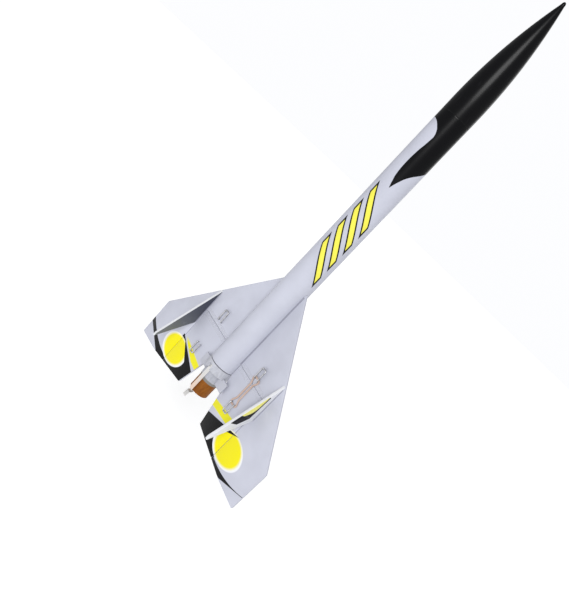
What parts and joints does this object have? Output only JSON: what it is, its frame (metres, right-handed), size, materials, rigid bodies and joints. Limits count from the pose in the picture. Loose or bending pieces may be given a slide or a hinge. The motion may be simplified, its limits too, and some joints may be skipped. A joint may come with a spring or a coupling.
{
  "type": "model rocket",
  "caption": "Rocket-glider with a delta wing, twin fins, hinged elevons and a motor pod that slides out of the tail to free them.",
  "frame": {"origin": "centre of the motor nozzle's exit, on the body tube's axis", "axes": "+Z along the tube to the nose tip, +X to the right wing tip, -Y to the top of the glider, where the fins stand"},
  "size_m": [0.1968, 0.0429, 0.4132],
  "materials": {
    "painted_paper": "white-painted rolled paper, satin",
    "nose_black": "glossy black moulded plastic",
    "painted_balsa": "white-painted balsa sheet, satin",
    "bare_wire": "bright steel wire",
    "band_rubber": "tan natural rubber",
    "clear_tape": "thin plastic hinge tape, satin",
    "spring_steel": "bright spring-steel strip",
    "ring_card": "brown compressed card",
    "engine_tube_paper": "white-painted rolled paper, satin",
    "casing_kraft": "reddish-brown kraft paper",
    "nozzle_clay": "grey pressed clay",
    "grain_black": "black pressed powder",
    "modelling_clay": "grey-brown modelling clay",
    "masking_tape": "cream masking tape, matt",
    "streamer_film": "orange crepe streamer, rolled"
  },
  "bodies": {
    "airframe": {"body_tube": "painted_paper", "nose_cone": "nose_black", "nose_weight": "modelling_clay", "launch_lug": "painted_paper", "wing_left": "painted_balsa", "wing_right": "painted_balsa", "fin_left": "painted_balsa", "fin_right": "painted_balsa", "front_hook_left": "bare_wire", "front_hook_right": "bare_wire", "hinge_tape_left": "clear_tape", "hinge_tape_right": "clear_tape", "rubber_band": "band_rubber"},
    "elevon_left": {"elevon_left": "painted_balsa", "elevon_hook_left": "bare_wire"},
    "elevon_right": {"elevon_right": "painted_balsa", "elevon_hook_right": "bare_wire"},
    "motor_pod": {"engine_tube": "engine_tube_paper", "rear_ring": "ring_card", "front_ring": "ring_card", "pod_collar": "painted_paper", "hold_down_tab_left": "painted_balsa", "hold_down_tab_right": "painted_balsa", "motor_clip": "spring_steel", "motor_casing": "casing_kraft", "motor_nozzle": "nozzle_clay", "propellant_grain": "grain_black", "delay_charge": "grain_black", "ejection_charge": "grain_black", "motor_cap": "nozzle_clay", "motor_tape": "masking_tape", "thrust_ring": "ring_card", "streamer_roll": "streamer_film"},
    "clip_finger": {"motor_clip_finger": "spring_steel"}
  },
  "joints": [
    {"name": "pod_slide", "type": "slide", "parent": "airframe", "child": "motor_pod", "axis": [0, 0, -1], "range_m": [0, 0.11]},
    {"name": "elevon_left_hinge", "type": "hinge", "parent": "airframe", "child": "elevon_left", "pos_m": [-0.0337, 0.0004, 0.0441], "axis": [-1, 0, 0], "range_deg": [0, 8], "deforming": ["hinge_tape_left"]},
    {"name": "elevon_right_hinge", "type": "hinge", "parent": "airframe", "child": "elevon_right", "pos_m": [0.0337, 0.0004, 0.0441], "axis": [-1, 0, 0], "range_deg": [0, 8], "deforming": ["hinge_tape_right", "rubber_band"]},
    {"name": "clip_flex", "type": "hinge", "parent": "motor_pod", "child": "clip_finger", "pos_m": [0, -0.0096, 0.0286], "axis": [-1, 0, 0], "range_deg": [0, 6.5], "stiffness_Nm_per_rad": 0.08}
  ],
  "couplings": [
    {"joint": "elevon_left_hinge", "follows": "pod_slide", "rad_per_m": 1.269},
    {"joint": "elevon_right_hinge", "follows": "pod_slide", "rad_per_m": 1.269}
  ]
}
